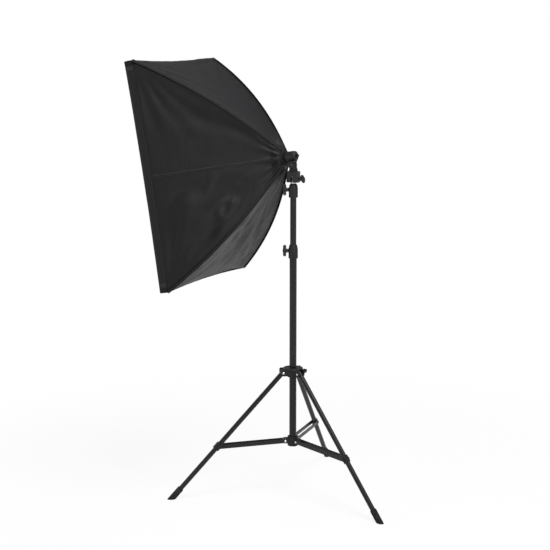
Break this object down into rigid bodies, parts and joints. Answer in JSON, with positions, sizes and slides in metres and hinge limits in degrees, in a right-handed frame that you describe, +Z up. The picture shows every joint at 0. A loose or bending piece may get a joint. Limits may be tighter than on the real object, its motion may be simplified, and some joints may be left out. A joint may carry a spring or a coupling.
{
  "type": "studio softbox",
  "caption": "Rectangular studio softbox with a spiral lamp, on a three-section light stand with folding legs, clamp collars and a tilting lamp head.",
  "frame": {"origin": "on the floor, under the middle of the part's box", "axes": "+Z up along the column; the softbox faces -Y"},
  "size_m": [0.6448, 0.8058, 1.346],
  "materials": {
    "black_metal": "satin black powder coat",
    "black_plastic": "fine matt moulding",
    "rubber": "matt",
    "steel": "bright zinc plate",
    "brass": "plain",
    "black_fabric": "satin nylon, silver coated inside",
    "white_fabric": "thin translucent weave",
    "white_plastic": "smooth",
    "lamp_glass": "white phosphor coated glass, opaque"
  },
  "bodies": {
    "base": {"base_tube": "black_metal", "lower_hub": "black_plastic", "base_plug": "black_plastic", "collar_1": "black_plastic", "brace_pin_1": "steel", "brace_pin_2": "steel", "brace_pin_3": "steel"},
    "hub": {"upper_hub": "black_plastic", "leg_pin_1": "steel", "leg_pin_2": "steel", "leg_pin_3": "steel"},
    "hub_clamp": {"hub_knob": "black_plastic"},
    "collar_1_clamp": {"collar_1_knob": "black_plastic"},
    "mid": {"mid_tube": "black_metal", "collar_2": "black_plastic"},
    "collar_2_clamp": {"collar_2_knob": "black_plastic"},
    "top": {"top_tube": "black_metal", "spigot": "steel"},
    "receiver": {"receiver": "black_plastic"},
    "swivel_clamp": {"swivel_knob": "black_plastic"},
    "head": {"tilt_bracket": "black_plastic", "tilt_bolt": "steel", "socket_housing": "black_plastic", "rear_cap": "black_plastic", "cord_gland": "black_plastic", "screw_shell": "steel", "contact": "brass", "rod_ring": "black_plastic", "rod_1": "steel", "rod_2": "steel", "rod_3": "steel", "rod_4": "steel", "rod_tip_1": "black_plastic", "rod_tip_2": "black_plastic", "rod_tip_3": "black_plastic", "rod_tip_4": "black_plastic", "canopy": "black_fabric", "hem": "black_fabric", "diffuser": "white_fabric", "lamp_cap": "steel", "lamp_base": "white_plastic", "lamp_spiral": "lamp_glass"},
    "tilt_clamp": {"tilt_knob": "black_plastic"},
    "leg_1": {"leg_1": "black_metal", "foot_1": "rubber", "clip_1": "black_plastic"},
    "brace_1": {"brace_1a": "black_metal", "brace_1b": "black_metal"},
    "leg_2": {"leg_2": "black_metal", "foot_2": "rubber", "clip_2": "black_plastic"},
    "brace_2": {"brace_2a": "black_metal", "brace_2b": "black_metal"},
    "leg_3": {"leg_3": "black_metal", "foot_3": "rubber", "clip_3": "black_plastic"},
    "brace_3": {"brace_3a": "black_metal", "brace_3b": "black_metal"}
  },
  "joints": [
    {"name": "hub_slide", "type": "slide", "parent": "base", "child": "hub", "axis": [0, 0, 1], "range_m": [0, 0.2971]},
    {"name": "leg_1_hinge", "type": "hinge", "parent": "hub", "child": "leg_1", "pos_m": [0.09183, 0.00962, 0.3864], "axis": [0.7955, 0.606, 0], "range_deg": [0, 38.4]},
    {"name": "brace_1_hinge", "type": "hinge", "parent": "base", "child": "brace_1", "pos_m": [0.08789, 0.01479, 0.16765], "axis": [-0.7955, -0.606, 0], "range_deg": [0, 84.37]},
    {"name": "leg_2_hinge", "type": "hinge", "parent": "hub", "child": "leg_2", "pos_m": [0.08478, 0.0646, 0.3864], "axis": [-0.9225, 0.3859, 0], "range_deg": [0, 38.4]},
    {"name": "brace_2_hinge", "type": "hinge", "parent": "base", "child": "brace_2", "pos_m": [0.08228, 0.0586, 0.16765], "axis": [0.9225, -0.3859, 0], "range_deg": [0, 84.37]},
    {"name": "leg_3_hinge", "type": "hinge", "parent": "hub", "child": "leg_3", "pos_m": [0.0407, 0.03101, 0.3864], "axis": [0.1271, -0.9919, 0], "range_deg": [0, 38.4]},
    {"name": "brace_3_hinge", "type": "hinge", "parent": "base", "child": "brace_3", "pos_m": [0.04714, 0.03184, 0.16765], "axis": [-0.1271, 0.9919, 0], "range_deg": [0, 84.37]},
    {"name": "hub_knob_turn", "type": "hinge", "parent": "hub", "child": "hub_clamp", "pos_m": [0.06559, 0.04407, 0.3884], "axis": [-0.606, 0.7955, 0], "range_deg": [0, 360]},
    {"name": "collar_1_knob_turn", "type": "hinge", "parent": "base", "child": "collar_1_clamp", "pos_m": [0.07661, 0.02621, 0.7685], "axis": [0.4258, -0.9048, 0], "range_deg": [0, 360]},
    {"name": "mid_slide", "type": "slide", "parent": "base", "child": "mid", "axis": [0, 0, 1], "range_m": [-0.145, 0.33]},
    {"name": "collar_2_knob_turn", "type": "hinge", "parent": "mid", "child": "collar_2_clamp", "pos_m": [0.07597, 0.02757, 0.956], "axis": [0.4258, -0.9048, 0], "range_deg": [0, 360]},
    {"name": "top_slide", "type": "slide", "parent": "mid", "child": "top", "axis": [0, 0, 1], "range_m": [0, 0.45]},
    {"name": "head_swivel", "type": "hinge", "parent": "top", "child": "receiver", "pos_m": [0.07244, 0.03508, 0.99], "axis": [0, 0, 1], "range_deg": [-180, 180]},
    {"name": "swivel_knob_turn", "type": "hinge", "parent": "receiver", "child": "swivel_clamp", "pos_m": [0.07244, 0.04338, 0.99], "axis": [0, 1, 0], "range_deg": [0, 360]},
    {"name": "head_tilt", "type": "hinge", "parent": "receiver", "child": "head", "pos_m": [0.07244, 0.03508, 1.03], "axis": [-1, 0, 0], "range_deg": [-14, 70]},
    {"name": "tilt_knob_turn", "type": "hinge", "parent": "head", "child": "tilt_clamp", "pos_m": [0.07244, 0.03508, 1.03], "axis": [1, 0, 0], "range_deg": [0, 360]}
  ],
  "couplings": [
    {"joint": "leg_1_hinge", "follows": "hub_slide", "rad_per_m": 2.2558},
    {"joint": "brace_1_hinge", "follows": "hub_slide", "rad_per_m": 4.9564},
    {"joint": "leg_2_hinge", "follows": "hub_slide", "rad_per_m": 2.2558},
    {"joint": "brace_2_hinge", "follows": "hub_slide", "rad_per_m": 4.9564},
    {"joint": "leg_3_hinge", "follows": "hub_slide", "rad_per_m": 2.2558},
    {"joint": "brace_3_hinge", "follows": "hub_slide", "rad_per_m": 4.9564}
  ]
}
